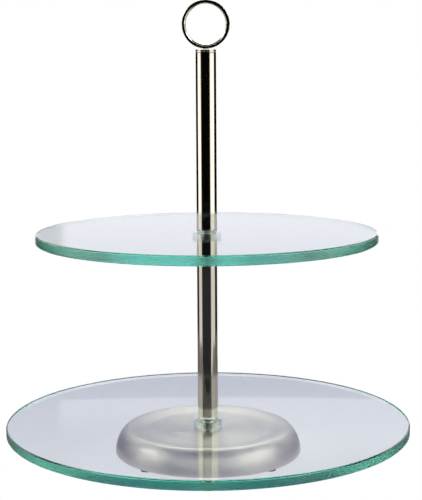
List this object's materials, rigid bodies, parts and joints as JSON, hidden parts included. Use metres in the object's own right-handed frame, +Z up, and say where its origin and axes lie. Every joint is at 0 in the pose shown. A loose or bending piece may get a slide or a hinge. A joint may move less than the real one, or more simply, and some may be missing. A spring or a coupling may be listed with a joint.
{
  "type": "tiered cake stand",
  "caption": "Two-tier cake stand: round clear-glass plates on a screw-together steel pole, domed steel base, ring handle on top.",
  "frame": {"origin": "centre of the footprint, on the surface the stand stands on", "axes": "+Z up along the pole; +X to the right and -Y towards the viewer who sees the ring handle face on"},
  "size_m": [0.3, 0.3, 0.3394],
  "materials": {
    "satin_steel": "satin stainless pressing, fine circular grain",
    "polished_steel": "bright polished stainless tube and ring",
    "zinc_steel": "bright zinc-plated fasteners and inserts",
    "clear_glass": "clear float glass, green at the ground and polished edge",
    "clear_plastic": "clear moulded plastic",
    "rubber": "matte black non-slip rubber"
  },
  "bodies": {
    "base": {"base_dome": "satin_steel", "foot_pad_1": "rubber", "foot_pad_2": "rubber", "foot_pad_3": "rubber", "foot_pad_4": "rubber", "base_flat_washer": "zinc_steel", "base_spring_washer": "zinc_steel", "base_screw": "zinc_steel", "lower_spacer": "clear_plastic"},
    "lower_plate": {"lower_glass_plate": "clear_glass"},
    "lower_washer": {"lower_washer": "clear_plastic"},
    "lower_post": {"lower_tube": "polished_steel", "lower_tube_bottom_insert": "zinc_steel", "lower_tube_top_insert": "zinc_steel", "joining_stud": "zinc_steel", "upper_spacer": "clear_plastic"},
    "upper_plate": {"upper_glass_plate": "clear_glass"},
    "upper_washer": {"upper_washer": "clear_plastic"},
    "upper_post": {"upper_tube": "polished_steel", "upper_tube_bottom_insert": "zinc_steel", "tube_end_cap": "polished_steel", "ring_handle": "polished_steel"}
  },
  "joints": [
    {"name": "lower_plate_turn", "type": "hinge", "parent": "base", "child": "lower_plate", "pos_m": [0, 0, 0.0317], "axis": [0, 0, 1], "continuous": true},
    {"name": "lower_post_turn", "type": "hinge", "parent": "base", "child": "lower_washer", "pos_m": [0, 0, 0.0329], "axis": [0, 0, 1], "range_deg": [0, 3618]},
    {"name": "lower_post_rise", "type": "slide", "parent": "lower_washer", "child": "lower_post", "axis": [0, 0, 1], "range_m": [0, 0.01]},
    {"name": "upper_plate_turn", "type": "hinge", "parent": "lower_post", "child": "upper_plate", "pos_m": [0, 0, 0.1734], "axis": [0, 0, 1], "continuous": true},
    {"name": "upper_post_turn", "type": "hinge", "parent": "lower_post", "child": "upper_washer", "pos_m": [0, 0, 0.1746], "axis": [0, 0, 1], "range_deg": [0, 3258]},
    {"name": "upper_post_rise", "type": "slide", "parent": "upper_washer", "child": "upper_post", "axis": [0, 0, 1], "range_m": [0, 0.009]}
  ],
  "couplings": [
    {"joint": "lower_post_turn", "follows": "lower_post_rise", "rad_per_m": 6283.2},
    {"joint": "upper_post_turn", "follows": "upper_post_rise", "rad_per_m": 6283.2}
  ]
}
